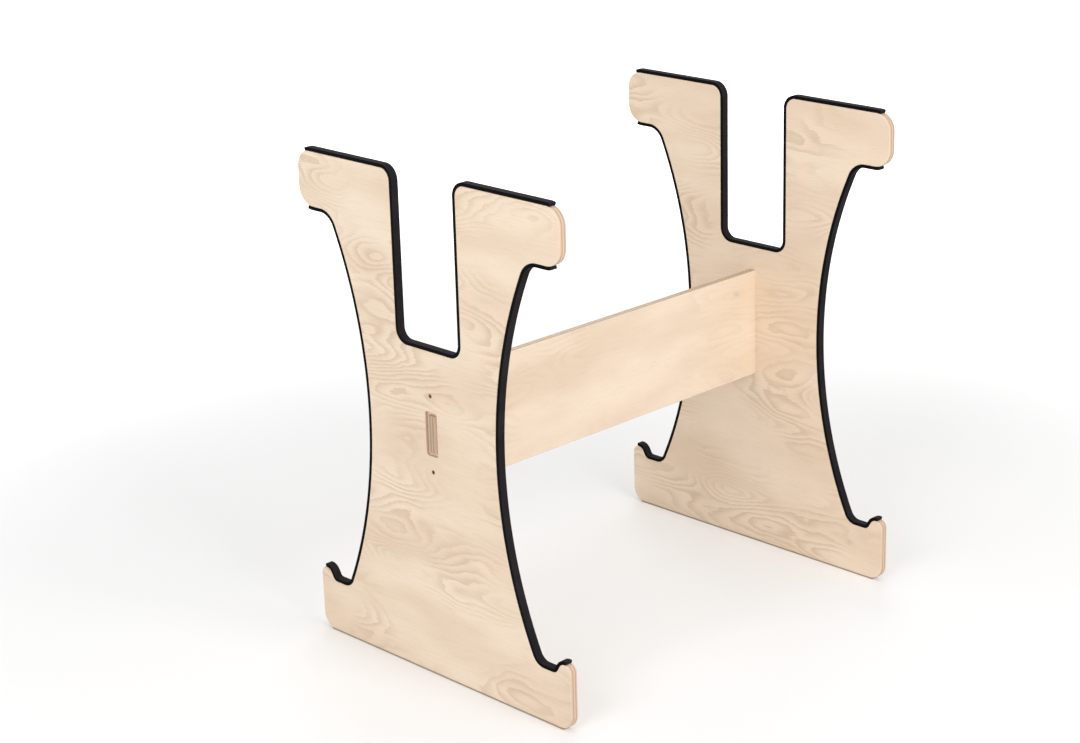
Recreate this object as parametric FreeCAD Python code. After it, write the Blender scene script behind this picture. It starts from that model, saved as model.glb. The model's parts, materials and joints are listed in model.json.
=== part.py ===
import FreeCAD, Part
import math
import os

from FreeCAD import Vector

# A free-standing plywood rack: two waisted uprights with feet and horns, joined by one beam on edge.
# Foam strips line every edge that carries a load, and bolts into barrel nuts pull the beam tight.
# Millimetres, +X along the beam, -Y to the front, +Z up, origin on the floor under the middle.

# Plywood and strips
ply = 15.0                  # thickness of every plywood board
edge_ease = 2.0             # round on the edges of the plywood
foam = 6.0                  # thickness of the foam strips
foot_strip = 2.0            # thickness of the strip under the feet

# Uprights
upright_pitch = 800.0       # from the middle of one upright to the middle of the other
upright_width = 614.0       # from tip to tip
upright_height = 864.0      # of the plywood alone
foot_round = 26.0           # lower corner of a foot
foot_wrap = 12.0            # how far the strip under the feet follows that corner, in degrees
cradle_height = 94.0        # of the cradle's floor over the underside of the foot
cradle_floor = 20.2         # flat length of the cradle's floor
cradle_face_round = 6.0     # hollow between floor and lip, on the face of the foam
lip_rise = 20.4             # of the lip over the cradle's floor
lip_round = 14.0            # crest of the lip
lip_slope = 60.0            # angle of the lip's inner side, in degrees
lip_wrap = 10.0             # how far the side lining goes on past the lip's crest, in degrees
waist_radius = 765.0        # of the long hollow side
bay_low_face_round = 20.0   # where the side meets the cradle, on the face of the foam
bay_high_face_round = 32.0  # where the side meets the horn, on the face of the foam
horn_height = 95.0          # from underside to top
horn_under_round = 32.0     # lower corner of the horn
horn_top_round = 30.0       # upper corner of the horn
horn_under_wrap = 16.0      # how far the side lining follows the lower corner, in degrees
horn_top_wrap = 16.0        # how far the horn's strip follows the upper corner, in degrees

# Slot between the horns
slot_width = 154.0          # in the plywood
slot_depth = 288.5          # from the top of the plywood
slot_face_round = 19.0      # lower corners, on the face of the foam
slot_mouth_round = 20.0     # upper corners, in the plywood

# Beam
beam_height = 200.0
beam_drop = 42.5            # from the slot's floor down to the top of the beam
tenon_height = 64.0
tenon_sink = 0.5            # from the upright's outer face to the end of the tenon
mortise_clearance = 0.2     # all round the tenon
recess_margin = 6.5         # of the recess round the mortise
recess_depth = 5.0
recess_round = 5.0          # upright corners of the recess

# Bolts and barrel nuts
bolt_diameter = 4.0
bolt_clearance = 0.5        # of the bolt's holes, on the diameter
bolt_tip = 2.5              # length of bolt past the nut
bolt_bore_end = 3.0         # depth of the bore past the bolt's tip
head_diameter = 7.0
head_height = 4.0
head_sink = 0.5             # from the outer face to the top of the head
hex_width = 3.0             # across flats
hex_depth = 2.0
nut_diameter = 9.0
nut_cover = 2.5             # from the nut's ends to the faces of the beam
nut_clearance = 0.2         # of the nut's hole, on the diameter and at its end
nut_setback = 53.0          # from the end of the beam to the nut
nut_slot_width = 1.6        # of the screwdriver slot in the nut's outer end
nut_slot_depth = 1.5

# Values that follow from the sizes above
half_width = upright_width / 2
slot_half = slot_width / 2
foot_z = foot_strip
top_z = foot_z + upright_height
cradle_z = foot_z + cradle_height
lip_z = cradle_z + lip_rise
horn_z = top_z - horn_height
slot_z = top_z - slot_depth
beam_top = slot_z - beam_drop
beam_middle = beam_top - beam_height / 2
beam_end = (upright_pitch - ply) / 2
outer_face = (upright_pitch + ply) / 2
bolt_reach = (beam_height + tenon_height) / 4
bolt_seat = head_sink + head_height
cradle_round = cradle_face_round + foam
bay_low_round = bay_low_face_round + foam
bay_high_round = bay_high_face_round + foam
slot_round = slot_face_round + foam


class Line:
    """A straight run of an outline in the (across, up) plane, with the wood on its left."""

    def __init__(self, start, end):
        self.start = start
        self.end = end

    def offset(self, gap):
        across = self.end[0] - self.start[0]
        up = self.end[1] - self.start[1]
        share = gap / math.hypot(across, up)
        ends = [(p[0] + share * up, p[1] - share * across) for p in (self.start, self.end)]
        return Line(*ends)

    def mirrored(self):
        return Line((-self.end[0], self.end[1]), (-self.start[0], self.start[1]))

    def edge(self, x):
        return Part.LineSegment(place(x, self.start), place(x, self.end)).toShape()


class Arc:
    """A round run between two angles in degrees, falling where the outline is hollow."""

    def __init__(self, centre, radius, begin, finish):
        self.centre = centre
        self.radius = radius
        self.begin = begin
        self.finish = finish

    def at(self, angle):
        turn = math.radians(angle)
        across = self.radius * math.cos(turn)
        up = self.radius * math.sin(turn)
        return (self.centre[0] + across, self.centre[1] + up)

    @property
    def start(self):
        return self.at(self.begin)

    @property
    def end(self):
        return self.at(self.finish)

    def offset(self, gap):
        growth = math.copysign(gap, self.finish - self.begin)
        return Arc(self.centre, self.radius + growth, self.begin, self.finish)

    def mirrored(self):
        return Arc((-self.centre[0], self.centre[1]), self.radius, 180 - self.finish, 180 - self.begin)

    def part(self, begin, finish):
        return Arc(self.centre, self.radius, begin, finish)

    def edge(self, x):
        middle = self.at((self.begin + self.finish) / 2)
        return Part.Arc(*[place(x, p) for p in (self.start, middle, self.end)]).toShape()


def place(x, point):
    """A point of an outline on the plane at x."""
    return Vector(x, point[0], point[1])


def mirrored(runs):
    """The same runs on the other side of the middle, in the order that goes on round the outline."""
    return [run.mirrored() for run in reversed(runs)]


def slab(edges):
    """Plywood-thick solid inside a closed loop of edges."""
    solid = Part.Face(Part.Wire(edges)).extrude(Vector(ply, 0, 0))
    return solid.removeSplitter()


def strip(runs, thickness, x):
    """Solid that lies on the outside of the runs, as wide as the plywood."""
    outer = [run.offset(thickness) for run in runs]
    start_cap = Line(runs[0].start, outer[0].start)
    end_cap = Line(runs[-1].end, outer[-1].end)
    edges = [run.edge(x) for run in runs] + [end_cap.edge(x)]
    edges += [run.edge(x) for run in reversed(outer)] + [start_cap.edge(x)]
    return slab(edges)


def rod(diameter, length, start, direction):
    """Round bar from a start point."""
    return Part.makeCylinder(diameter / 2, length, start, direction)


def block(x_near, x_far, y_half, z_low, z_high):
    """Box that is centred across the rack."""
    low = Vector(min(x_near, x_far), -y_half, z_low)
    return Part.makeBox(abs(x_far - x_near), 2 * y_half, z_high - z_low, low)


# One half of the upright's outline, from the middle of its underside round to the slot's floor
underside = Line((0, foot_z), (half_width - foot_round, foot_z))
foot_corner = Arc((half_width - foot_round, foot_z + foot_round), foot_round, 270, 360)
foot_tip = Line(foot_corner.end, (half_width, lip_z - lip_round))
lip = Arc((half_width - lip_round, lip_z - lip_round), lip_round, 0, 90 + lip_slope)

slope = math.radians(lip_slope)
flank_foot_z = cradle_z + cradle_round * (1 - math.cos(slope))
flank_foot = (lip.end[0] - (lip.end[1] - flank_foot_z) / math.tan(slope), flank_foot_z)
flank = Line(lip.end, flank_foot)
hollow_centre = (flank_foot[0] - cradle_round * math.sin(slope), cradle_z + cradle_round)
cradle_hollow = Arc(hollow_centre, cradle_round, 270 + lip_slope, 270)
bay_u = hollow_centre[0] - cradle_floor
floor = Line(cradle_hollow.end, (bay_u, cradle_z))

waist_z = (cradle_z + horn_z) / 2
low_reach = waist_radius - bay_low_round
low_lean = math.asin((waist_z - cradle_z - bay_low_round) / low_reach)
low_turn = 180 + math.degrees(low_lean)
waist_u = bay_u + low_reach * math.cos(low_lean)
high_reach = waist_radius - bay_high_round
high_lean = math.asin((horn_z - waist_z - bay_high_round) / high_reach)
high_turn = 180 - math.degrees(high_lean)
horn_bay_u = waist_u - high_reach * math.cos(high_lean)
bay_low = Arc((bay_u, cradle_z + bay_low_round), bay_low_round, 270, low_turn)
waist = Arc((waist_u, waist_z), waist_radius, low_turn, high_turn)
bay_high = Arc((horn_bay_u, horn_z - bay_high_round), bay_high_round, high_turn, 90)

horn_under = Line(bay_high.end, (half_width - horn_under_round, horn_z))
horn_low = Arc((half_width - horn_under_round, horn_z + horn_under_round), horn_under_round, 270, 360)
horn_tip = Line(horn_low.end, (half_width, top_z - horn_top_round))
horn_high = Arc((half_width - horn_top_round, top_z - horn_top_round), horn_top_round, 0, 90)
horn_top = Line(horn_high.end, (slot_half + slot_mouth_round, top_z))
mouth = Arc((slot_half + slot_mouth_round, top_z - slot_mouth_round), slot_mouth_round, 90, 180)

slot_side = Line(mouth.end, (slot_half, slot_z + slot_round))
slot_corner = Arc((slot_half - slot_round, slot_z + slot_round), slot_round, 360, 270)
slot_floor = Line(slot_corner.end, (0, slot_z))

bay_runs = [flank, cradle_hollow, floor, bay_low, waist, bay_high, horn_under]
horn_runs = [horn_low, horn_tip, horn_high, horn_top, mouth]
slot_runs = [slot_side, slot_corner, slot_floor]
half_outline = [underside, foot_corner, foot_tip, lip] + bay_runs + horn_runs + slot_runs


def make_upright(side):
    """Plywood upright at the -X or +X end, with its mortise, recess and bolt holes."""
    x = side * upright_pitch / 2 - ply / 2
    outline = half_outline + mirrored(half_outline)
    board = slab([run.edge(x) for run in outline])
    rims = [edge for edge in board.Edges if edge.BoundBox.XLength < ply / 2]
    board = board.makeFillet(edge_ease, rims)

    outer = side * outer_face
    inner = side * beam_end
    pocket_floor = side * (outer_face - recess_depth)
    fit_y = ply / 2 + mortise_clearance
    fit_z = tenon_height / 2 + mortise_clearance
    recess_y = ply / 2 + recess_margin
    recess_z = tenon_height / 2 + recess_margin
    recess = block(pocket_floor, outer, recess_y, beam_middle - recess_z, beam_middle + recess_z)
    recess_corners = [edge for edge in recess.Edges if edge.BoundBox.XLength > recess_depth / 2]
    cuts = [block(inner, outer, fit_y, beam_middle - fit_z, beam_middle + fit_z),
            recess.makeFillet(recess_round, recess_corners)]
    inward = Vector(-side, 0, 0)
    for z in bolt_heights():
        face_point = Vector(outer, 0, z)
        cuts.append(rod(bolt_diameter + bolt_clearance, ply, face_point, inward))
        cuts.append(rod(head_diameter + bolt_clearance, bolt_seat, face_point, inward))
    return board.cut(cuts)


def bolt_heights():
    """Heights of the two bolts at each end of the beam."""
    return [beam_middle - bolt_reach, beam_middle + bolt_reach]


def make_beam():
    """Beam on edge with a stub tenon at each end, bored for the bolts and nuts."""
    low = beam_middle - beam_height / 2
    beam = block(-beam_end, beam_end, ply / 2, low, beam_top)
    long_edges = [edge for edge in beam.Edges if edge.BoundBox.XLength > beam_end]
    beam = beam.makeFillet(edge_ease, long_edges)
    tenon_low = beam_middle - tenon_height / 2
    tenon_end = outer_face - tenon_sink
    tenons = [block(side * beam_end, side * tenon_end, ply / 2, tenon_low, tenon_low + tenon_height)
              for side in (-1, 1)]
    beam = beam.fuse(tenons).removeSplitter()

    bore_length = nut_setback + nut_diameter / 2 + bolt_tip + bolt_bore_end
    hole_end = nut_cover - nut_clearance
    cuts = []
    for side in (-1, 1):
        for z in bolt_heights():
            end_point = Vector(side * beam_end, 0, z)
            cuts.append(rod(bolt_diameter + bolt_clearance, bore_length, end_point, Vector(-side, 0, 0)))
            rear_point = Vector(side * (beam_end - nut_setback), ply / 2, z)
            cuts.append(rod(nut_diameter + nut_clearance, ply - hole_end, rear_point, Vector(0, -1, 0)))
    return beam.cut(cuts)


def make_bolt(side, z):
    """Socket-head bolt that enters from the upright's outer face."""
    inward = Vector(-side, 0, 0)
    top = side * (outer_face - head_sink)
    seat = side * (outer_face - bolt_seat)
    length = ply - bolt_seat + nut_setback + nut_diameter / 2 + bolt_tip
    head = rod(head_diameter, head_height, Vector(top, 0, z), inward)
    shank = rod(bolt_diameter, length, Vector(seat, 0, z), inward)
    hex_radius = hex_width / math.sqrt(3)
    turns = [math.radians(angle) for angle in range(0, 361, 60)]
    corners = [Vector(top, hex_radius * math.cos(turn), z + hex_radius * math.sin(turn)) for turn in turns]
    socket = Part.Face(Part.makePolygon(corners)).extrude(inward * hex_depth)
    return head.fuse(shank).removeSplitter().cut(socket)


def make_nut(side, z):
    """Barrel nut across the beam, with a screwdriver slot at its rear end."""
    x = side * (beam_end - nut_setback)
    half_length = ply / 2 - nut_cover
    barrel = rod(nut_diameter, 2 * half_length, Vector(x, half_length, z), Vector(0, -1, 0))
    thread = rod(bolt_diameter, 2 * nut_diameter, Vector(x - nut_diameter, 0, z), Vector(1, 0, 0))
    slot_corner_point = Vector(x - nut_diameter, half_length - nut_slot_depth, z - nut_slot_width / 2)
    driver_slot = Part.makeBox(2 * nut_diameter, nut_slot_depth, nut_slot_width, slot_corner_point)
    return barrel.cut([thread, driver_slot])


def make_side(name, side):
    """All the pieces that belong to one upright, by name."""
    x = side * upright_pitch / 2 - ply / 2
    crest = lip.part(90 - lip_wrap, 90 + lip_slope)
    lining = [crest] + bay_runs + [horn_low.part(270, 270 + horn_under_wrap)]
    cap = [horn_high.part(90 - horn_top_wrap, 90), horn_top, mouth]
    half_sole = [underside, foot_corner.part(270, 270 + foot_wrap)]
    pieces = {f"{name}_upright": make_upright(side),
              f"{name}_slot_lining": strip(slot_runs + mirrored(slot_runs), foam, x),
              f"{name}_foot_strip": strip(mirrored(half_sole) + half_sole, foot_strip, x),
              f"{name}_bolts": Part.makeCompound([make_bolt(side, z) for z in bolt_heights()]),
              f"{name}_barrel_nuts": Part.makeCompound([make_nut(side, z) for z in bolt_heights()])}
    for place_name, turn in (("rear", list), ("front", mirrored)):
        pieces[f"{name}_{place_name}_side_lining"] = strip(turn(lining), foam, x)
        pieces[f"{name}_{place_name}_horn_strip"] = strip(turn(cap), foam, x)
    return pieces


def main():
    os.makedirs("parts", exist_ok=True)
    pieces = {"beam": make_beam()}
    pieces.update(make_side("left", -1))
    pieces.update(make_side("right", 1))
    for name, shape in pieces.items():
        shape.exportStep(f"parts/{name}.step")
        solids = len(shape.Solids)
        print(f"{name}: {solids} solid(s), valid {shape.isValid()}, {shape.Volume / 1000:.1f} cm3")


main()
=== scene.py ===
"""The looks of a free-standing plywood rack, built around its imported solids.

Metres, +X along the beam, -Y to the front, +Z up, origin on the floor under the middle.
"""

import json
import logging
import math
from dataclasses import dataclass
from enum import Enum
from typing import ClassVar, Dict, List, Optional, Sequence, Tuple, Union

import bmesh
import bpy
from mathutils import Matrix, Vector, noise

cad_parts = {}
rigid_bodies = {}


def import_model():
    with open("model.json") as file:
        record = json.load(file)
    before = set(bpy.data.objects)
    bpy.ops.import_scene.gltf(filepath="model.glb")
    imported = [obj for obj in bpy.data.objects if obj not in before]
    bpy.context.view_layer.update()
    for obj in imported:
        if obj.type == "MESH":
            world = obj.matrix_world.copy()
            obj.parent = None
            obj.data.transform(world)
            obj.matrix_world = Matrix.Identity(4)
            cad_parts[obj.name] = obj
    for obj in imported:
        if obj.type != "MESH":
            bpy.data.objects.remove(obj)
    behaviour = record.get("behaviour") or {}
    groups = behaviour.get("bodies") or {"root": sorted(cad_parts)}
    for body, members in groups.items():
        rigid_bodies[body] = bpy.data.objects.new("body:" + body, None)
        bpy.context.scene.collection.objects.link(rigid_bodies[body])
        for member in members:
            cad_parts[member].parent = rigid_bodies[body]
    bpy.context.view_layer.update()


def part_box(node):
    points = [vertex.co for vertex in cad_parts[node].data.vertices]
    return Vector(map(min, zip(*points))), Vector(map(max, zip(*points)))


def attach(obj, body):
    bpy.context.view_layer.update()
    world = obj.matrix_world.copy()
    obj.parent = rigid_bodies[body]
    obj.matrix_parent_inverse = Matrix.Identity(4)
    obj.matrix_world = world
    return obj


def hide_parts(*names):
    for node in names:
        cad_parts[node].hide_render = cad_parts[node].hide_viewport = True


log = logging.getLogger("rack")

Point = Tuple[float, float]
Span = Tuple[float, float]
Place = Tuple[float, float, float]
Colour = Tuple[float, float, float, float]
Socket = bpy.types.NodeSocket
Feed = Union[float, Sequence[float], bpy.types.NodeSocket]
Feeds = Dict[Union[str, int], Feed]
Ring = List[Union[bmesh.types.BMVert, bmesh.types.BMEdge]]

BODY = "root"

# How far a normal leans to an axis where a mask starts and where it is full
FACE_ON: Span = (0.50, 0.90)
EDGE_ON: Span = (0.90, 0.50)


class Side(Enum):
    """The two ends of the beam, as the start of a node's name."""

    LEFT = "left"
    RIGHT = "right"


class Slot(Enum):
    """The record's material slots that new pieces take."""

    FOAM = "foam"
    FOOT_RUBBER = "foot_rubber"


class Grain(Enum):
    """The axis of the rack that the grain of a panel's face follows."""

    ALONG_BEAM = "X"
    ACROSS_UPRIGHT = "Y"


class Kind(Enum):
    """Socket types of the shared effects."""

    VALUE = "NodeSocketFloat"
    VECTOR = "NodeSocketVector"


def srgb(red: int, green: int, blue: int) -> Colour:
    """Turn a colour as a screen shows it into the linear one that a shader takes.

    Args:
        red: red from 0 to 255.
        green: green from 0 to 255.
        blue: blue from 0 to 255.

    Returns:
        The linear colour, opaque.
    """
    shares = [value / 255 for value in (red, green, blue)]
    linear = [share / 12.92 if share <= 0.04045 else ((share + 0.055) / 1.055) ** 2.4 for share in shares]
    return (linear[0], linear[1], linear[2], 1.0)


@dataclass(frozen=True)
class Field:
    """A smooth random field.

    Attributes:
        size: size of its features along each axis.
        detail: how many finer fields are added.
        shift: moves the field, so that two of the same size differ.
    """

    size: Place
    detail: float = 1.0
    shift: float = 0.0


class Graph:
    """Adds nodes to one shader tree and links them."""

    def __init__(self, tree: bpy.types.NodeTree) -> None:
        """Take over a tree and empty it."""
        tree.nodes.clear()
        self.tree = tree

    def plug(self, node: bpy.types.Node, feeds: Feeds) -> None:
        """Link a node's inputs to their sources, or set their constants.

        Args:
            node: the node.
            feeds: an output socket, a number or a tuple of numbers for each input, by its name or number.
        """
        for key, value in feeds.items():
            if isinstance(value, bpy.types.NodeSocket):
                self.tree.links.new(value, node.inputs[key])
            else:
                node.inputs[key].default_value = value

    def add(self, kind: str, feeds: Optional[Feeds] = None, **settings: object) -> bpy.types.Node:
        """Add one node.

        Args:
            kind: the node's type, without the prefix that all shader nodes have.
            feeds: what goes into its inputs, by name or number.
            **settings: the node's own properties.

        Returns:
            The new node.
        """
        node = self.tree.nodes.new("ShaderNode" + kind)
        for name, value in settings.items():
            setattr(node, name, value)
        self.plug(node, feeds or {})
        return node

    def math(self, operation: str, *terms: Feed) -> Socket:
        """Work out one number from others."""
        return self.add("Math", dict(enumerate(terms)), operation=operation).outputs[0]

    def split(self, vector: Feed) -> Tuple[Socket, Socket, Socket]:
        """Take a vector apart."""
        outputs = self.add("SeparateXYZ", {"Vector": vector}).outputs
        return (outputs["X"], outputs["Y"], outputs["Z"])

    def join(self, x: Feed, y: Feed, z: Feed) -> Socket:
        """Put a vector together."""
        return self.add("CombineXYZ", {"X": x, "Y": y, "Z": z}).outputs[0]

    def rise(self, value: Feed, low: float, high: float) -> Socket:
        """Ease from 0 at the low value to 1 at the high one."""
        feeds = {"Value": value, "From Min": low, "From Max": high}
        return self.add("MapRange", feeds, interpolation_type="SMOOTHSTEP").outputs[0]

    def blend(self, share: Feed, first: Feed, second: Feed) -> Socket:
        """Go from one colour to another."""
        return self.add("Mix", {0: share, 6: first, 7: second}, data_type="RGBA").outputs[2]

    def cover(self, base: Feed, mask: Feed, share: float, colour: Colour) -> Socket:
        """Lay a colour over another where a mask says so, as strongly as a share of it says."""
        return self.blend(self.math("MULTIPLY", mask, share), base, colour)

    def noise(self, point: Feed, field: Field) -> Socket:
        """Lay a smooth random field.

        Args:
            point: where to read it.
            field: its size, detail and shift.

        Returns:
            The field's values, from 0 to 1.
        """
        counts = tuple(1 / length for length in field.size)
        shift = (field.shift,) * 3
        scaled = self.add("VectorMath", {0: point, 1: counts, 2: shift}, operation="MULTIPLY_ADD")
        texture = self.add("TexNoise", {"Vector": scaled.outputs[0], "Scale": 1.0, "Detail": field.detail})
        return texture.outputs[0]

    def emboss(self, shader: bpy.types.Node, height: Feed, relief: float, strength: float) -> None:
        """Give a shader a relief, with heights from 0 to 1 and its depth in metres."""
        bump = self.add("Bump", {"Strength": strength, "Distance": relief, "Height": height})
        self.plug(shader, {"Normal": bump.outputs[0]})


class Effect:
    """A node group that is built once and placed in each material that needs it."""

    name: str
    inlets: Dict[str, Kind]

    def lay(self, graph: Graph, inlet: bpy.types.Node) -> Dict[str, Feed]:
        """Fill the group's tree from its inputs, and name the numbers that it puts out."""
        raise NotImplementedError

    def place(self, graph: Graph, feeds: Feeds) -> bpy.types.Node:
        """Put the group into a material.

        Args:
            graph: the material's tree.
            feeds: what goes into the group's inputs, by name.

        Returns:
            The group's node.
        """
        tree = bpy.data.node_groups.get(self.name)
        if tree is None:
            tree = bpy.data.node_groups.new(self.name, "ShaderNodeTree")
            for name, kind in self.inlets.items():
                tree.interface.new_socket(name, in_out="INPUT", socket_type=kind.value)
            inside = Graph(tree)
            results = self.lay(inside, tree.nodes.new("NodeGroupInput"))
            for name in results:
                tree.interface.new_socket(name, in_out="OUTPUT", socket_type=Kind.VALUE.value)
            inside.plug(tree.nodes.new("NodeGroupOutput"), results)
        return graph.add("Group", feeds, node_tree=tree)


class PlyStack(Effect):
    """Finds the layer of veneer at a depth below one face of the panel.

    Attributes:
        thickness: thickness of the panel.
        layers: number of its layers.
        sanding: what each face has lost to sanding.
        glue: where the glue starts and is full, from a layer's middle and as shares of its thickness.
    """

    name = "ply_stack"
    inlets = {"Depth": Kind.VALUE, "Heart Place": Kind.VALUE, "Heart Reach": Kind.VALUE}
    thickness = 0.015
    layers = 11
    sanding = 0.0004
    glue = (0.40, 0.48)

    def lay(self, graph: Graph, inlet: bpy.types.Node) -> Dict[str, Feed]:
        """Count the layers and mark the crossed, inner and dark ones and the glue between them.

        Args:
            graph: the group's tree.
            inlet: the node that brings in the group's inputs.

        Returns:
            What the group puts out, by name.
        """
        pitch = (self.thickness + 2 * self.sanding) / self.layers
        sunk = graph.math("ADD", inlet.outputs["Depth"], self.sanding)
        count = graph.math("DIVIDE", sunk, pitch)
        layer = graph.math("FLOOR", count)
        within = graph.math("FRACT", count)
        from_middle = graph.math("ABSOLUTE", graph.math("SUBTRACT", within, 0.5))
        middle = (self.layers - 1) / 2
        off_middle = graph.math("ABSOLUTE", graph.math("SUBTRACT", layer, middle))
        off_heart = graph.math("SUBTRACT", off_middle, inlet.outputs["Heart Place"])
        heart = graph.math("LESS_THAN", graph.math("ABSOLUTE", off_heart), inlet.outputs["Heart Reach"])
        return {"Layer": layer, "Cross": graph.math("MODULO", layer, 2.0),
                "Glue": graph.rise(from_middle, *self.glue),
                "Core": graph.math("LESS_THAN", off_middle, middle - 0.5), "Heart": heart}


class Veneer(Effect):
    """Rotary-cut birch, with a figure of its own in every layer.

    Attributes:
        layer_step: how far the figure moves on from one layer to the next.
        broad: field whose contours are the growth lines.
        swirl: field that bends them.
        ripple: field that makes them uneven.
        feather: field that frays them along the grain.
        broad_lines: number of growth lines that the first field spans, and so on for the others.
        swell: part of a line's width over which it darkens.
        swell_power: how late it does so.
        fall: part of a line's width over which it ends.
        patch: field that decides where lines show.
        patch_range: values of that field between which they come up.
        fibre: field of the fine fibres.
        fleck: field of the short pores.
        fleck_range: values of that field between which a pore shows.
        tone: field of the broad changes of colour.
    """

    name = "rotary_birch"
    inlets = {"Point": Kind.VECTOR, "Layer": Kind.VALUE, "Cross": Kind.VALUE}
    layer_step = 1.7
    broad = Field((0.42, 0.115, 1.0))
    swirl = Field((0.12, 0.045, 1.0), 1.5, 11.0)
    ripple = Field((0.024, 0.015, 1.0), 1.0, 23.0)
    feather = Field((0.028, 0.0018, 1.0), 2.0, 71.0)
    broad_lines = 24.0
    swirl_lines = 3.4
    ripple_lines = 0.40
    feather_lines = 0.55
    swell = (0.05, 0.94)
    swell_power = 1.6
    fall = (1.0, 0.93)
    patch = Field((0.21, 0.14, 1.0), 1.0, 41.0)
    patch_range = (0.42, 0.66)
    fibre = Field((0.045, 0.0011, 0.0011), 3.0)
    fleck = Field((0.006, 0.0006, 0.0006))
    fleck_range = (0.64, 0.74)
    tone = Field((0.30, 0.09, 1.0), 2.0, 53.0)

    def lay(self, graph: Graph, inlet: bpy.types.Node) -> Dict[str, Feed]:
        """Draw growth lines as the contours of a field that is stretched along the grain.

        Args:
            graph: the group's tree.
            inlet: the node that brings in the group's inputs.

        Returns:
            What the group puts out, by name.
        """
        along, across, depth = graph.split(inlet.outputs["Point"])
        turn = graph.math("MULTIPLY", inlet.outputs["Cross"], graph.math("SUBTRACT", across, along))
        run = graph.math("ADD", along, turn)
        width = graph.math("SUBTRACT", across, turn)
        sheet = graph.join(run, width, graph.math("MULTIPLY", inlet.outputs["Layer"], self.layer_step))
        solid = graph.join(run, width, depth)

        broad = graph.math("MULTIPLY", graph.noise(sheet, self.broad), self.broad_lines)
        swirl = graph.math("MULTIPLY", graph.noise(sheet, self.swirl), self.swirl_lines)
        ripple = graph.math("MULTIPLY", graph.noise(sheet, self.ripple), self.ripple_lines)
        feather = graph.math("MULTIPLY", graph.noise(sheet, self.feather), self.feather_lines)
        height = graph.math("ADD", graph.math("ADD", broad, swirl), graph.math("ADD", ripple, feather))
        ring = graph.math("FRACT", height)
        swell = graph.math("POWER", graph.rise(ring, *self.swell), self.swell_power)
        late = graph.math("MULTIPLY", swell, graph.rise(ring, *self.fall))
        presence = graph.rise(graph.noise(sheet, self.patch), *self.patch_range)
        return {"Lines": graph.math("MULTIPLY", late, presence), "Fibre": graph.noise(solid, self.fibre),
                "Fleck": graph.rise(graph.noise(solid, self.fleck), *self.fleck_range),
                "Tone": graph.noise(sheet, self.tone)}


class Cells(Effect):
    """The fine pitted skin of foam and rubber sheet.

    Attributes:
        pit_range: distances from a pit's middle between which it rises to the skin, in sizes of a pit.
        cloud: field of the lighter clouds.
        speck: field of the specks of dust.
        speck_range: values of that field between which a speck shows.
        patch: field that decides where dust lies.
        patch_range: values of that field between which it does.
    """

    name = "sheet_cells"
    inlets = {"Point": Kind.VECTOR, "Size": Kind.VALUE}
    pit_range = (0.05, 0.60)
    cloud = Field((0.030, 0.030, 0.030), 3.0)
    speck = Field((0.0012, 0.0012, 0.0012), 1.0, 7.0)
    speck_range = (0.68, 0.78)
    patch = Field((0.05, 0.05, 0.05), 2.0, 19.0)
    patch_range = (0.45, 0.65)

    def lay(self, graph: Graph, inlet: bpy.types.Node) -> Dict[str, Feed]:
        """Scatter round pits, and lay clouds and specks of dust over them.

        Args:
            graph: the group's tree.
            inlet: the node that brings in the group's inputs.

        Returns:
            What the group puts out, by name.
        """
        point = inlet.outputs["Point"]
        count = graph.math("DIVIDE", 1.0, inlet.outputs["Size"])
        pits = graph.add("TexVoronoi", {"Vector": point, "Scale": count})
        specks = graph.rise(graph.noise(point, self.speck), *self.speck_range)
        patches = graph.rise(graph.noise(point, self.patch), *self.patch_range)
        return {"Pit": graph.rise(pits.outputs["Distance"], *self.pit_range),
                "Cloud": graph.noise(point, self.cloud), "Dust": graph.math("MULTIPLY", specks, patches)}


class Turned(Effect):
    """Fine tool marks and tarnish on small steel pieces.

    Attributes:
        mark: field of the tool marks.
        tarnish: field of the tarnish.
    """

    name = "turned_steel"
    inlets = {"Point": Kind.VECTOR}
    mark = Field((0.0002, 0.004, 0.004), 2.0)
    tarnish = Field((0.002, 0.002, 0.002), 3.0, 5.0)

    def lay(self, graph: Graph, inlet: bpy.types.Node) -> Dict[str, Feed]:
        """Lay streaks round the pieces and clouds over them."""
        point = inlet.outputs["Point"]
        return {"Mark": graph.noise(point, self.mark), "Tarnish": graph.noise(point, self.tarnish)}


def start_material(name: str) -> Tuple[bpy.types.Material, Graph, bpy.types.Node]:
    """Make a material with one shader.

    Args:
        name: the material's name.

    Returns:
        The material, its tree and its Principled shader.
    """
    material = bpy.data.materials.new(name)
    material.use_nodes = True
    graph = Graph(material.node_tree)
    shader = graph.add("BsdfPrincipled")
    graph.add("OutputMaterial", {"Surface": shader.outputs[0]})
    return (material, graph, shader)


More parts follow.
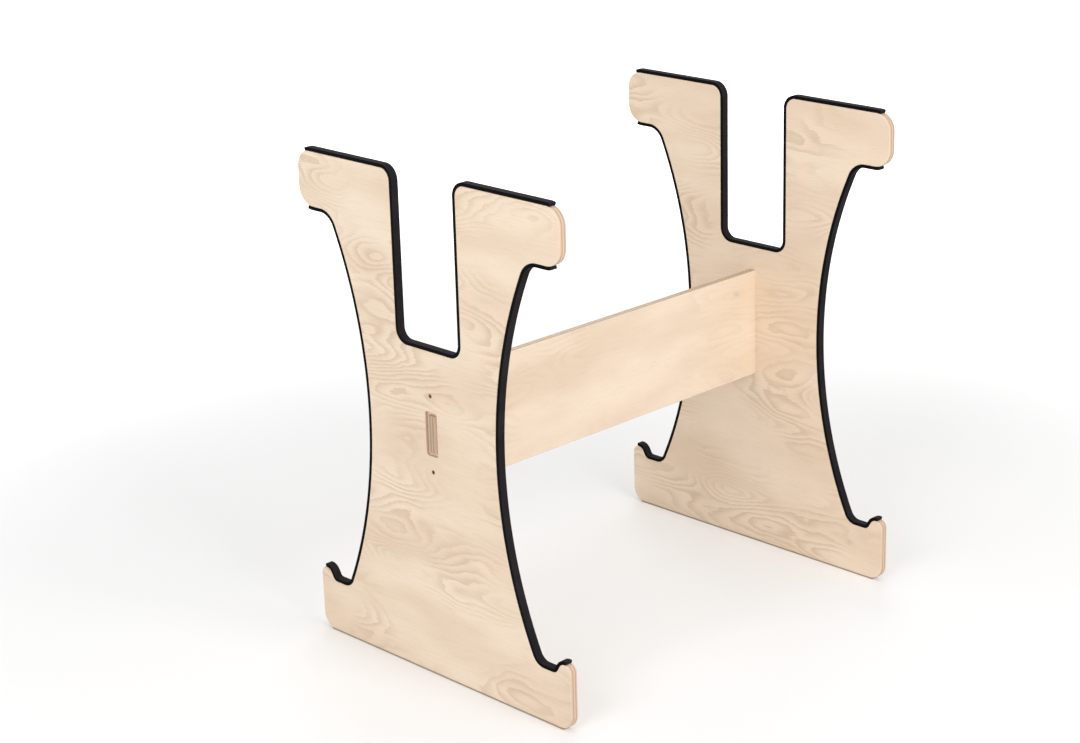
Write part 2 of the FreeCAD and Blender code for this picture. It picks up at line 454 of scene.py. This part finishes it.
@dataclass(frozen=True)
class PlywoodFinish:
    """Lacquered birch plywood that shows its layers wherever it is cut.

    Attributes:
        name: the material's name.
        grain: axis that the grain of the faces follows.
        figure: how strongly the growth lines show, from 0 to 1.
        cut_shade: how much darker the wood is where it is cut across its grain, from 0 to 1, raised on the
            beam as painted shade on the tenon's end.
        heart_layers: how far from the middle layer the darker ones lie, and how far they reach from there.
        knots: places of pin knots, along the grain and up.
        pale: the lightest wood.
        warm: the darkest plain wood.
        late: growth lines.
        fleck: short pores.
        bare_veneer_and_shade: bare inner veneer where a tool has cut it, partly darkened as painted shade in
            the recess and on the beam's top edge.
        end: veneer that is cut across its grain; on the beam it is darker, partly as painted shade on the
            tenon's end in its recess.
        heart: the few layers that are of darker wood.
        glue: glue lines.
        bare_share: how much of that colour, painted shade included, an inner veneer shows where it is cut
            along the face.
        sawn_share: what a sawn edge adds to that.
        fibre_share: how strongly fibres show, and so on for pores, dark layers, glue and knots.
        tone_range: values of the tone between which the wood goes from pale to warm.
        fibre_range: values of the fibre field between which a fibre shows.
        end_range: how far the surface turns to the grain where end grain starts and is full.
        knot_size: half length and half height of a knot.
        knot_edge: field that makes a knot's edge uneven.
        knot_wander: how uneven it is, as a share of the knot's size.
        roughness: roughness of the smoothest places, what fibres add to it, and what end grain adds.
        relief: depth of the fibres, in metres.
        pore_depth: depth of the pores, as a share of that.
        bump: how strongly they show.
        specular: strength of the shine.
    """

    name: str
    grain: Grain
    figure: float
    cut_shade: float
    heart_layers: Tuple[float, float]
    knots: Tuple[Point, ...]
    pale: Colour = srgb(241, 222, 200)
    warm: Colour = srgb(229, 207, 182)
    late: Colour = srgb(192, 160, 127)
    fleck: Colour = srgb(172, 138, 106)
    bare_veneer_and_shade: Colour = srgb(221, 192, 168)
    end: Colour = srgb(205, 173, 147)
    heart: Colour = srgb(160, 122, 94)
    glue: Colour = srgb(122, 92, 70)
    bare_share: float = 0.40
    sawn_share: float = 0.25
    fibre_share: float = 0.22
    fleck_share: float = 0.30
    heart_share: float = 0.70
    glue_share: float = 0.80
    knot_share: float = 0.26
    tone_range: Span = (0.30, 0.70)
    fibre_range: Span = (0.45, 0.80)
    end_range: Span = (0.35, 0.90)
    knot_size: Point = (0.0130, 0.0070)
    knot_edge: Field = Field((0.008, 0.004, 0.004), 2.0)
    knot_wander: float = 0.9
    roughness: Tuple[float, float, float] = (0.40, 0.14, 0.18)
    relief: float = 0.00008
    pore_depth: float = 0.5
    bump: float = 0.5
    specular: float = 0.35

    def knot_mask(self, graph: Graph, point: Socket, knot: Point) -> Socket:
        """Mark one pin knot.

        Args:
            graph: the material's tree.
            point: the place on the panel, along the grain, up and through.
            knot: the knot's place, along the grain and up.

        Returns:
            A mask that is 1 in the middle of the knot.
        """
        uneven = graph.noise(point, self.knot_edge)
        wander = graph.math("MULTIPLY_ADD", uneven, 2 * self.knot_wander, -self.knot_wander)
        squares = []
        for part, middle, half in zip(graph.split(point), knot, self.knot_size):
            reach = graph.math("DIVIDE", graph.math("SUBTRACT", part, middle), half)
            squares.append(graph.math("POWER", reach, 2.0))
        away = graph.math("SQRT", graph.math("ADD", *squares))
        return graph.rise(graph.math("ADD", away, wander), 1.0, 0.0)

    def material(self, inner_face: float) -> bpy.types.Material:
        """Make the material.

        Args:
            inner_face: distance of the panels' one face from the middle of the rack, through the thickness.

        Returns:
            The material.
        """
        material, graph, shader = start_material(self.name)
        source = graph.add("TexCoord").outputs
        x, y, z = graph.split(source["Object"])
        turn_x, turn_y, turn_z = [graph.math("ABSOLUTE", part) for part in graph.split(source["Normal"])]
        if self.grain is Grain.ACROSS_UPRIGHT:
            depth = graph.math("SUBTRACT", graph.math("ABSOLUTE", x), inner_face)
            point = graph.join(graph.math("ADD", y, x), z, depth)
            along_turn, through_turn = turn_y, turn_x
            striped = graph.rise(turn_x, *EDGE_ON)
        else:
            depth = graph.math("SUBTRACT", y, inner_face)
            point = graph.join(x, z, depth)
            along_turn, through_turn = turn_x, turn_y
            striped = graph.rise(turn_x, *FACE_ON)

        place, reach = self.heart_layers
        stack = PlyStack().place(graph, {"Depth": depth, "Heart Place": place, "Heart Reach": reach}).outputs
        sheet = {"Point": point, "Layer": stack["Layer"], "Cross": stack["Cross"]}
        veneer = Veneer().place(graph, sheet).outputs
        swing = graph.math("MULTIPLY", stack["Cross"], graph.math("SUBTRACT", turn_z, along_turn))
        end = graph.rise(graph.math("ADD", along_turn, swing), *self.end_range)
        sawn = graph.rise(through_turn, *EDGE_ON)
        shown = graph.math("MULTIPLY_ADD", sawn, self.sawn_share, self.bare_share)

        wood = graph.blend(graph.rise(veneer["Tone"], *self.tone_range), self.pale, self.warm)
        wood = graph.cover(wood, veneer["Lines"], self.figure, self.late)
        wood = graph.cover(wood, graph.rise(veneer["Fibre"], *self.fibre_range), self.fibre_share, self.late)
        wood = graph.cover(wood, veneer["Fleck"], self.fleck_share, self.fleck)
        # Cut inner veneer: its bare colour, partly darkened as painted shade in the recess and on the beam's
        # top edge
        wood = graph.blend(graph.math("MULTIPLY", stack["Core"], shown), wood, self.bare_veneer_and_shade)
        # End grain, on the beam partly painted shade on the tenon's end in its recess
        wood = graph.cover(wood, end, self.cut_shade, self.end)
        dark = graph.math("MULTIPLY", stack["Heart"], striped)
        wood = graph.cover(wood, dark, self.heart_share, self.heart)
        for knot in self.knots:
            wood = graph.cover(wood, self.knot_mask(graph, point, knot), self.knot_share, self.fleck)
        wood = graph.cover(wood, stack["Glue"], self.glue_share, self.glue)

        smooth, by_fibre, by_end = self.roughness
        grip = graph.math("MULTIPLY_ADD", veneer["Fibre"], by_fibre, smooth)
        rough = graph.math("MULTIPLY_ADD", end, by_end, grip)
        graph.plug(shader, {"Base Color": wood, "Roughness": rough, "Specular IOR Level": self.specular})
        pores = graph.math("MULTIPLY", veneer["Fleck"], self.pore_depth)
        height = graph.math("SUBTRACT", graph.math("SUBTRACT", veneer["Fibre"], pores), stack["Glue"])
        graph.emboss(shader, height, self.relief, self.bump)
        return material


@dataclass(frozen=True)
class SheetFinish:
    """Foam or rubber sheet, dull, with sides that show where it was cut.

    Attributes:
        name: the material's name.
        dark: colour of most of its skin.
        light: colour of the skin's lighter clouds.
        cut: colour of the cut sides.
        dust: colour of the dust in its pits.
        pit: size of the pits, in metres.
        relief: depth of the pits, in metres.
        roughness: roughness of the smoothest places.
        cloud_range: values of the cloud field between which the skin goes from dark to light.
        cloud_roughness: what clouds add to the roughness.
        dust_share: how strongly dust shows.
        bump: how strongly the pits show.
        specular: strength of the shine.
    """

    name: str
    dark: Colour
    light: Colour
    cut: Colour
    dust: Colour
    pit: float
    relief: float
    roughness: float
    cloud_range: Span = (0.30, 0.70)
    cloud_roughness: float = 0.20
    dust_share: float = 0.6
    bump: float = 0.7
    specular: float = 0.05

    def material(self) -> bpy.types.Material:
        """Make the material.

        Returns:
            The material.
        """
        material, graph, shader = start_material(self.name)
        source = graph.add("TexCoord").outputs
        cells = Cells().place(graph, {"Point": source["Object"], "Size": self.pit}).outputs
        colour = graph.blend(graph.rise(cells["Cloud"], *self.cloud_range), self.dark, self.light)
        sideways = graph.math("ABSOLUTE", graph.split(source["Normal"])[0])
        colour = graph.blend(graph.rise(sideways, *FACE_ON), colour, self.cut)
        colour = graph.cover(colour, cells["Dust"], self.dust_share, self.dust)
        rough = graph.math("MULTIPLY_ADD", cells["Cloud"], self.cloud_roughness, self.roughness)
        graph.plug(shader, {"Base Color": colour, "Roughness": rough, "Specular IOR Level": self.specular})
        graph.emboss(shader, cells["Pit"], self.relief, self.bump)
        return material


@dataclass(frozen=True)
class SteelFinish:
    """Small turned steel pieces, blackened or plated.

    Attributes:
        name: the material's name.
        bright: colour of the bright metal.
        dull: colour of its tarnish.
        roughness: roughness of the bright metal.
        tarnish_range: values of the tarnish field between which it shows.
        tarnish_roughness: what tarnish adds to the roughness.
        relief: depth of the tool marks, in metres.
        bump: how strongly they show.
    """

    name: str
    bright: Colour
    dull: Colour
    roughness: float
    tarnish_range: Span = (0.35, 0.70)
    tarnish_roughness: float = 0.20
    relief: float = 0.00003
    bump: float = 0.4

    def material(self) -> bpy.types.Material:
        """Make the material.

        Returns:
            The material.
        """
        material, graph, shader = start_material(self.name)
        point = graph.add("TexCoord").outputs["Object"]
        turned = Turned().place(graph, {"Point": point}).outputs
        tarnish = graph.rise(turned["Tarnish"], *self.tarnish_range)
        colour = graph.blend(tarnish, self.bright, self.dull)
        rough = graph.math("MULTIPLY_ADD", tarnish, self.tarnish_roughness, self.roughness)
        graph.plug(shader, {"Base Color": colour, "Roughness": rough, "Metallic": 1.0})
        graph.emboss(shader, turned["Mark"], self.relief, self.bump)
        return material


@dataclass(frozen=True)
class Straight:
    """A straight run of an upright's edge, in its (across, up) plane.

    Attributes:
        start: where the run begins.
        end: where it ends.
        fewest_rows: rows of faces that even a short run has.
    """

    start: Point
    end: Point
    fewest_rows: ClassVar[int] = 2

    def mirrored(self) -> "Straight":
        """The same run at the other side, followed on in the same sense."""
        return Straight((-self.end[0], self.end[1]), (-self.start[0], self.start[1]))

    def heading(self) -> Point:
        """Work out which way the run sets off.

        Returns:
            The unit direction at its start.
        """
        across, up = self.end[0] - self.start[0], self.end[1] - self.start[1]
        length = math.hypot(across, up)
        return (across / length, up / length)

    def carry(self, bm: bmesh.types.BMesh, ring: Ring, spacing: float) -> Ring:
        """Draw a ring out along the run.

        Args:
            bm: the mesh.
            ring: vertices and edges of the last section.
            spacing: length of one row of faces.

        Returns:
            Vertices and edges of the section at the run's end.
        """
        way = Vector((0.0, self.end[0] - self.start[0], self.end[1] - self.start[1]))
        steps = max(self.fewest_rows, round(way.length / spacing))
        return bmesh.ops.spin(bm, geom=ring, cent=(0, 0, 0), axis=(1, 0, 0), dvec=way / steps, angle=0.0,
                              steps=steps)["geom_last"]


@dataclass(frozen=True)
class Bend:
    """A round run of an upright's edge between two angles in degrees, falling where the edge is hollow.

    Attributes:
        centre: middle of the arc.
        radius: radius of the arc.
        begin: angle at its start.
        finish: angle at its end.
        fewest_rows: rows of faces that even a short run has.
        widest_row: the most that one row turns, in degrees.
    """

    centre: Point
    radius: float
    begin: float
    finish: float
    fewest_rows: ClassVar[int] = 3
    widest_row: ClassVar[float] = 4.0

    def at(self, angle: float) -> Point:
        """The point at an angle."""
        turn = math.radians(angle)
        return (self.centre[0] + self.radius * math.cos(turn), self.centre[1] + self.radius * math.sin(turn))

    @property
    def start(self) -> Point:
        """Where the run begins."""
        return self.at(self.begin)

    @property
    def end(self) -> Point:
        """Where the run ends."""
        return self.at(self.finish)

    def mirrored(self) -> "Bend":
        """The same run at the other side, followed on in the same sense."""
        return Bend((-self.centre[0], self.centre[1]), self.radius, 180 - self.finish, 180 - self.begin)

    def heading(self) -> Point:
        """Work out which way the run sets off.

        Returns:
            The unit direction at its start.
        """
        turn = math.radians(self.begin)
        sense = math.copysign(1.0, self.finish - self.begin)
        return (-sense * math.sin(turn), sense * math.cos(turn))

    def carry(self, bm: bmesh.types.BMesh, ring: Ring, spacing: float) -> Ring:
        """Turn a ring round the arc.

        Args:
            bm: the mesh.
            ring: vertices and edges of the last section.
            spacing: length of one row of faces.

        Returns:
            Vertices and edges of the section at the run's end.
        """
        angle = math.radians(self.finish - self.begin)
        by_length = round(abs(angle) * self.radius / spacing)
        by_turn = round(abs(angle) / math.radians(self.widest_row))
        return bmesh.ops.spin(bm, geom=ring, cent=(0, *self.centre), axis=(1, 0, 0), angle=angle,
                              steps=max(self.fewest_rows, by_length, by_turn))["geom_last"]


Run = Union[Straight, Bend]


def mirrored(runs: Sequence[Run]) -> List[Run]:
    """The same runs at the other side of the upright, in the order that goes on round its edge."""
    return [run.mirrored() for run in reversed(runs)]


@dataclass
class Strip:
    """A strip cut from sheet and glued along part of an upright's edge.

    Attributes:
        node: the solid that it stands for.
        runs: the edge that it follows, with the wood on the left.
        x_low: its one side along the beam.
        x_high: its other side.
        thickness: thickness of the sheet.
        slot: the record's slot that it takes.
        edge_round: round of the long edges that show.
        glued_share: round of the glued edges, as a share of that.
        end_share: round of the ends' edges, as a share of that.
        spacing: length of one row of faces.
        unevenness: depth of the shallow dents of its skin.
        dents: how many dents there are to a metre, about.
    """

    node: str
    runs: List[Run]
    x_low: float
    x_high: float
    thickness: float
    # slot: the record's slot that it takes; not used.
    slot: Slot
    edge_round: float
    glued_share: float = 0.4
    end_share: float = 0.6
    spacing: float = 0.005
    unevenness: float = 0.00018
    dents: float = 70.0

    def section(self, bm: bmesh.types.BMesh) -> bmesh.types.BMFace:
        """Stand the strip's section at the start of its first run.

        Args:
            bm: an empty mesh.

        Returns:
            The section, with its long edges rounded.
        """
        corners = bmesh.ops.create_grid(bm, x_segments=1, y_segments=1, size=0.5)["verts"]
        across, up = self.runs[0].heading()
        out = Vector((0.0, up, -across))
        start = Vector(((self.x_low + self.x_high) / 2, *self.runs[0].start)) + out * self.thickness / 2
        columns = (Vector((self.x_high - self.x_low, 0, 0)), out * self.thickness, Vector((0.0, across, up)))
        stand = Matrix.Translation(start) @ Matrix(columns).transposed().to_4x4()
        glued = [corner for corner in corners if corner.co.y < 0]
        shown = [corner for corner in corners if corner.co.y > 0]
        bmesh.ops.transform(bm, matrix=stand, verts=corners)
        for pair, share in ((glued, self.glued_share), (shown, 1.0)):
            bmesh.ops.bevel(bm, geom=pair, offset=share * self.edge_round, offset_type="OFFSET", segments=4,
                            profile=0.5, affect="VERTICES", material=-1)
        return bm.faces[:][0]

    def build(self, material: bpy.types.Material) -> bpy.types.Object:
        """Draw the section along the runs, close its ends and dress it.

        Args:
            material: its finish.

        Returns:
            The strip.
        """
        bm = bmesh.new()
        first = self.section(bm)
        ring = list(first.verts) + list(first.edges)
        for run in self.runs:
            ring = run.carry(bm, ring, self.spacing)
        rim = [part for part in ring if isinstance(part, bmesh.types.BMEdge)]
        last = bmesh.ops.edgeloop_fill(bm, edges=rim)["faces"][0]
        bmesh.ops.recalc_face_normals(bm, faces=bm.faces)
        ends = list(first.edges) + list(last.edges)
        bmesh.ops.bevel(bm, geom=ends, offset=self.end_share * self.edge_round, offset_type="OFFSET",
                        segments=3, profile=0.5, affect="EDGES", clamp_overlap=True, material=-1)
        bm.normal_update()
        for vertex in bm.verts:
            dent = 0.5 + 0.5 * noise.noise(vertex.co * self.dents)
            vertex.co -= vertex.normal * self.unevenness * max(0.0, dent)
        return finish_piece(bm, self.node + ".strip", self.node, material)


def finish_piece(bm: bmesh.types.BMesh, name: str, node: str,
                 material: bpy.types.Material) -> bpy.types.Object:
    """Turn a finished mesh into a piece of the rack.

    Args:
        bm: the mesh, which is freed.
        name: the piece's name.
        node: the solid that it stands for.
        material: its finish.

    Returns:
        The piece.
    """
    mesh = bpy.data.meshes.new(name)
    bm.to_mesh(mesh)
    bm.free()
    mesh.shade_smooth()
    mesh.materials.append(material)
    piece = bpy.data.objects.new(name, mesh)
    bpy.context.scene.collection.objects.link(piece)
    piece.modifiers.new("even_shading", "WEIGHTED_NORMAL")
    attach(piece, BODY)
    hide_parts(node)
    log.info("%s: %d faces, for %s", name, len(mesh.polygons), node)
    return piece


@dataclass
class Upright:
    """One plywood upright with its foam strips and the strip under its feet.

    Attributes:
        side: end of the beam that it stands at.
        foot_round: lower corner of a foot.
        foot_wrap: how far the strip under the feet follows that corner, in degrees.
        lip_rise: height of the cradle's lip over its floor.
        lip_round: crest of the lip.
        lip_slope: angle of the lip's inner side, in degrees.
        lip_wrap: how far the side lining goes on past the lip's crest, in degrees.
        cradle_round: hollow between the cradle's floor and its lip.
        cradle_floor: flat length of the cradle's floor.
        waist_radius: radius of the long hollow side.
        bay_low_round: hollow where the side meets the cradle.
        bay_high_round: hollow where the side meets the horn.
        horn_height: height of the horn, from underside to top.
        horn_under_round: lower corner of the horn.
        horn_top_round: upper corner of the horn.
        horn_under_wrap: how far the side lining follows the lower corner, in degrees.
        horn_top_wrap: how far the horn's strip follows the upper corner, in degrees.
        slot_round: lower corners of the slot.
        foam_edge: round of the foam's long edges.
        sole_edge: round of the foot strip's long edges.
    """

    side: Side
    foot_round: float = 0.026
    foot_wrap: float = 12.0
    lip_rise: float = 0.0204
    lip_round: float = 0.014
    lip_slope: float = 60.0
    lip_wrap: float = 10.0
    cradle_round: float = 0.012
    cradle_floor: float = 0.0202
    waist_radius: float = 0.765
    bay_low_round: float = 0.026
    bay_high_round: float = 0.038
    horn_height: float = 0.095
    horn_under_round: float = 0.032
    horn_top_round: float = 0.030
    horn_under_wrap: float = 16.0
    horn_top_wrap: float = 16.0
    slot_round: float = 0.025
    foam_edge: float = 0.0011
    sole_edge: float = 0.0005

    def __post_init__(self) -> None:
        """Read the upright's place and main sizes from the solids."""
        low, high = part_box(self.node("upright"))
        slot_low, slot_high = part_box(self.node("slot_lining"))
        self.x_low, self.x_high = low.x, high.x
        self.half_width = high.y
        self.foot_z, self.top_z = low.z, high.z
        self.slot_half, self.slot_z, self.mouth_z = slot_high.y, slot_low.z, slot_high.z
        self.cradle_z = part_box(self.node("rear_side_lining"))[0].z
        self.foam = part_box(self.node("rear_horn_strip"))[1].z - high.z
        self.sole = low.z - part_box(self.node("foot_strip"))[0].z

    def node(self, name: str) -> str:
        """The full name of one of this upright's solids."""
        return f"{self.side.value}_{name}"

    def side_runs(self) -> List[Run]:
        """Follow the edge from just past the lip's crest, through the cradle and up to the horn.

        Returns:
            Its runs, in order.
        """
        horn_z = self.top_z - self.horn_height
        crest = (self.half_width - self.lip_round, self.cradle_z + self.lip_rise - self.lip_round)
        lip = Bend(crest, self.lip_round, 90 - self.lip_wrap, 90 + self.lip_slope)
        slope = math.radians(self.lip_slope)
        flank_z = self.cradle_z + self.cradle_round * (1 - math.cos(slope))
        flank = Straight(lip.end, (lip.end[0] - (lip.end[1] - flank_z) / math.tan(slope), flank_z))
        hollow_u = flank.end[0] - self.cradle_round * math.sin(slope)
        hollow_centre = (hollow_u, self.cradle_z + self.cradle_round)
        hollow = Bend(hollow_centre, self.cradle_round, 270 + self.lip_slope, 270)
        bay_u = hollow_u - self.cradle_floor
        floor = Straight(hollow.end, (bay_u, self.cradle_z))

        waist_z = (self.cradle_z + horn_z) / 2
        low_reach = self.waist_radius - self.bay_low_round
        low_lean = math.asin((waist_z - self.cradle_z - self.bay_low_round) / low_reach)
        waist_u = bay_u + low_reach * math.cos(low_lean)
        high_reach = self.waist_radius - self.bay_high_round
        high_lean = math.asin((horn_z - waist_z - self.bay_high_round) / high_reach)
        horn_u = waist_u - high_reach * math.cos(high_lean)
        low_turn, high_turn = 180 + math.degrees(low_lean), 180 - math.degrees(high_lean)
        bay_low = Bend((bay_u, self.cradle_z + self.bay_low_round), self.bay_low_round, 270, low_turn)
        waist = Bend((waist_u, waist_z), self.waist_radius, low_turn, high_turn)
        bay_high = Bend((horn_u, horn_z - self.bay_high_round), self.bay_high_round, high_turn, 90)

        corner = (self.half_width - self.horn_under_round, horn_z + self.horn_under_round)
        wrap = Bend(corner, self.horn_under_round, 270, 270 + self.horn_under_wrap)
        under = Straight(bay_high.end, (corner[0], horn_z))
        return [lip, flank, hollow, floor, bay_low, waist, bay_high, under, wrap]

    def horn_runs(self) -> List[Run]:
        """Follow the edge over the top of the horn and into the mouth of the slot.

        Returns:
            Its runs, in order.
        """
        corner = (self.half_width - self.horn_top_round, self.top_z - self.horn_top_round)
        wrap = Bend(corner, self.horn_top_round, 90 - self.horn_top_wrap, 90)
        mouth_round = self.top_z - self.mouth_z
        mouth_u = self.slot_half + mouth_round
        mouth = Bend((mouth_u, self.mouth_z), mouth_round, 90, 180)
        return [wrap, Straight(wrap.end, (mouth_u, self.top_z)), mouth]

    def slot_runs(self) -> List[Run]:
        """Follow the edge down into the slot, across its floor and up again.

        Returns:
            Its runs, in order.
        """
        corner_u, corner_z = self.slot_half - self.slot_round, self.slot_z + self.slot_round
        corner = Bend((corner_u, corner_z), self.slot_round, 360, 270)
        half = [Straight((self.slot_half, self.mouth_z), (self.slot_half, corner_z)), corner,
                Straight(corner.end, (0.0, self.slot_z))]
        return half + mirrored(half)

    def sole_runs(self) -> List[Run]:
        """Follow the underside of the feet and the start of their lower corners.

        Returns:
            Its runs, in order.
        """
        corner_u = self.half_width - self.foot_round
        corner = Bend((corner_u, self.foot_z + self.foot_round), self.foot_round, 270, 270 + self.foot_wrap)
        half = [Straight((0.0, self.foot_z), corner.start), corner]
        return mirrored(half) + half

    def strip(self, name: str, runs: List[Run]) -> Strip:
        """A foam strip of this upright."""
        return Strip(self.node(name), runs, self.x_low, self.x_high, self.foam, Slot.FOAM, self.foam_edge)

    def build(self, plywood: bpy.types.Material, foam: bpy.types.Material,
              rubber: bpy.types.Material) -> None:
        """Dress the upright and build its strips.

        Args:
            plywood: finish of the upright.
            foam: finish of its foam strips.
            rubber: finish of the strip under its feet.
        """
        dress(self.node("upright"), plywood)
        strips = [self.strip("slot_lining", self.slot_runs()),
                  self.strip("rear_side_lining", self.side_runs()),
                  self.strip("front_side_lining", mirrored(self.side_runs())),
                  self.strip("rear_horn_strip", self.horn_runs()),
                  self.strip("front_horn_strip", mirrored(self.horn_runs()))]
        for strip in strips:
            strip.build(foam)
        sole = Strip(self.node("foot_strip"), self.sole_runs(), self.x_low, self.x_high, self.sole,
                     Slot.FOOT_RUBBER, self.sole_edge, unevenness=0.0)
        sole.build(rubber)


def dress(node: str, material: bpy.types.Material) -> None:
    """Give a solid its finish.

    Args:
        node: the solid's name.
        material: its finish.
    """
    solid = bpy.data.objects[node]
    solid.data.materials.clear()
    solid.data.materials.append(material)
    log.info("%s: dressed in %s", node, material.name)


@dataclass(frozen=True)
class SoftBox:
    """A square studio lamp.

    Attributes:
        name: the lamp's name.
        place: where it hangs.
        width: length of its sides.
        watts: its power.
    """

    name: str
    place: Place
    width: float
    watts: float

    def hang(self, aim: Place) -> None:
        """Add the lamp to the scene.

        Args:
            aim: the point that it faces.
        """
        lamp = bpy.data.lights.new(self.name, "AREA")
        lamp.size = self.width
        lamp.energy = self.watts
        holder = bpy.data.objects.new(self.name, lamp)
        holder.location = self.place
        holder.rotation_euler = (Vector(aim) - Vector(self.place)).to_track_quat("-Z", "Y").to_euler()
        bpy.context.scene.collection.objects.link(holder)


@dataclass(frozen=True)
class Studio:
    """A white floor, soft lamps and a camera.

    Attributes:
        floor_width: length of the floor's sides.
        floor_shade: share of light that the floor gives back.
        floor_lift: what the floor glows with where it is seen, so that it ends white.
        fade: distances between which the floor turns all white.
        ambient: strength of the light from all round.
        aim: the point that the lamps face.
        lamps: the lamps.
        camera_place: where the camera stands.
        yaw: turn of its view from +Y towards +X, in radians.
        pitch: tilt of its view below the horizon, in radians.
        roll: turn about its view, in radians.
        focal_pixels: focal length in pixels of the image.
        image_width: width of the image, in pixels.
        sensor: width of the camera's sensor, in millimetres.
    """

    floor_width: float = 60.0
    floor_shade: float = 0.84
    floor_lift: float = 0.06
    fade: Span = (0.9, 3.6)
    ambient: float = 0.55
    aim: Place = (0.0, 0.0, 0.45)
    lamps: Tuple[SoftBox, ...] = (SoftBox("key", (-0.3, -3.8, 2.4), 2.2, 80.0),
                                  SoftBox("fill", (-3.8, -0.8, 2.2), 2.4, 57.0),
                                  SoftBox("top", (0.0, 0.8, 4.4), 3.0, 36.0),
                                  SoftBox("back", (3.4, 2.8, 2.4), 2.6, 48.0))
    camera_place: Place = (-2.8051, -2.7253, 1.7677)
    yaw: float = 0.7708473
    pitch: float = 0.3270018
    roll: float = -0.0285293
    focal_pixels: float = 2374.37
    image_width: int = 1080
    sensor: float = 36.0

    def seen(self, graph: Graph) -> Socket:
        """Tell what the camera sees, straight or in metal or glass.

        Args:
            graph: the tree that needs to know.

        Returns:
            A mask that is 1 where it does.
        """
        path = graph.add("LightPath").outputs
        mirror = graph.math("MAXIMUM", path["Is Glossy Ray"], path["Is Transmission Ray"])
        return graph.math("MAXIMUM", path["Is Camera Ray"], mirror)

    def lay_floor(self) -> None:
        """Add the floor."""
        material = bpy.data.materials.new("floor_white")
        material.use_nodes = True
        graph = Graph(material.node_tree)
        matt = graph.add("BsdfDiffuse", {"Color": (self.floor_shade,) * 3 + (1.0,)})
        place = graph.add("TexCoord").outputs["Object"]
        distance = graph.add("VectorMath", {0: place}, operation="LENGTH").outputs["Value"]
        away = graph.rise(distance, *self.fade)
        lift = graph.math("MULTIPLY_ADD", away, 1.0 - self.floor_lift, self.floor_lift)
        glow = graph.add("Emission", {"Strength": graph.math("MULTIPLY", self.seen(graph), lift)})
        both = graph.add("AddShader", {0: matt.outputs[0], 1: glow.outputs[0]})
        graph.add("OutputMaterial", {"Surface": both.outputs[0]})
        bm = bmesh.new()
        bmesh.ops.create_grid(bm, x_segments=1, y_segments=1, size=self.floor_width / 2)
        mesh = bpy.data.meshes.new("floor")
        bm.to_mesh(mesh)
        bm.free()
        mesh.materials.append(material)
        floor = bpy.data.objects.new("floor", mesh)
        bpy.context.scene.collection.objects.link(floor)

    def light(self) -> None:
        """Hang the lamps and set the light from all round."""
        for lamp in self.lamps:
            lamp.hang(self.aim)
        world = bpy.data.worlds.new("studio")
        world.use_nodes = True
        graph = Graph(world.node_tree)
        seen = self.seen(graph)
        strength = graph.math("MULTIPLY_ADD", seen, 1.0 - self.ambient, self.ambient)
        air = graph.add("Background", {"Color": (1.0, 1.0, 1.0, 1.0), "Strength": strength})
        graph.add("OutputWorld", {"Surface": air.outputs[0]})
        bpy.context.scene.world = world
        bpy.context.scene.view_settings.view_transform = "Standard"

    def stand_camera(self) -> None:
        """Add the camera."""
        view = Vector((math.sin(self.yaw) * math.cos(self.pitch), math.cos(self.yaw) * math.cos(self.pitch),
                       -math.sin(self.pitch)))
        level = Vector((math.cos(self.yaw), -math.sin(self.yaw), 0.0))
        upright = level.cross(view)
        right = math.cos(self.roll) * level + math.sin(self.roll) * upright
        up = math.cos(self.roll) * upright - math.sin(self.roll) * level
        lens = bpy.data.cameras.new("camera")
        lens.sensor_fit = "HORIZONTAL"
        lens.sensor_width = self.sensor
        lens.lens = self.focal_pixels * self.sensor / self.image_width
        camera = bpy.data.objects.new("camera", lens)
        turn = Matrix((right, up, -view)).transposed().to_4x4()
        camera.matrix_world = Matrix.Translation(self.camera_place) @ turn
        bpy.context.scene.collection.objects.link(camera)
        bpy.context.scene.camera = camera


def main() -> None:
    """Load the solids, dress them, build the strips and set up the studio."""
    logging.basicConfig(level=logging.INFO, format="%(name)s: %(message)s")
    for leftover in list(bpy.data.objects):
        bpy.data.objects.remove(leftover)
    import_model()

    beam_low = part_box("beam")[0]
    inner_face = -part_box("left_upright")[1].x
    upright_ply = PlywoodFinish(
        "birch_upright", Grain.ACROSS_UPRIGHT, figure=0.44, cut_shade=0.45, heart_layers=(2.0, 0.4),
        knots=((0.160, 0.058), (-0.330, 0.745))).material(inner_face)
    # The beam's darker end and bare veneer colours and its higher cut_shade are partly painted shade, on the
    # tenon's end in its recess and on its top edge.
    beam_ply = PlywoodFinish(
        "birch_beam", Grain.ALONG_BEAM, figure=0.16, cut_shade=0.80, heart_layers=(2.5, 0.6),
        knots=((0.3395, 0.501),), bare_veneer_and_shade=srgb(202, 178, 151), end=srgb(160, 137, 111)).material(beam_low.y)
    foam = SheetFinish(
        "black_foam", dark=srgb(32, 29, 32), light=srgb(40, 36, 40), cut=srgb(11, 10, 11),
        dust=srgb(74, 70, 70), pit=0.0006, relief=0.00006, roughness=0.70).material()
    rubber = SheetFinish(
        "foot_rubber", dark=srgb(168, 150, 130), light=srgb(182, 164, 144), cut=srgb(174, 156, 136),
        dust=srgb(198, 184, 166), pit=0.0009, relief=0.00008, roughness=0.62).material()
    black = SteelFinish("black_oxide", srgb(134, 108, 88), srgb(82, 64, 52), roughness=0.34).material()
    zinc = SteelFinish("zinc_plate", srgb(196, 196, 190), srgb(150, 148, 140), roughness=0.26).material()

    dress("beam", beam_ply)
    for side in Side:
        Upright(side).build(upright_ply, foam, rubber)
        dress(f"{side.value}_bolts", black)
        dress(f"{side.value}_barrel_nuts", zinc)

    studio = Studio()
    studio.lay_floor()
    studio.light()
    studio.stand_camera()


if __name__ == "__main__":
    main()
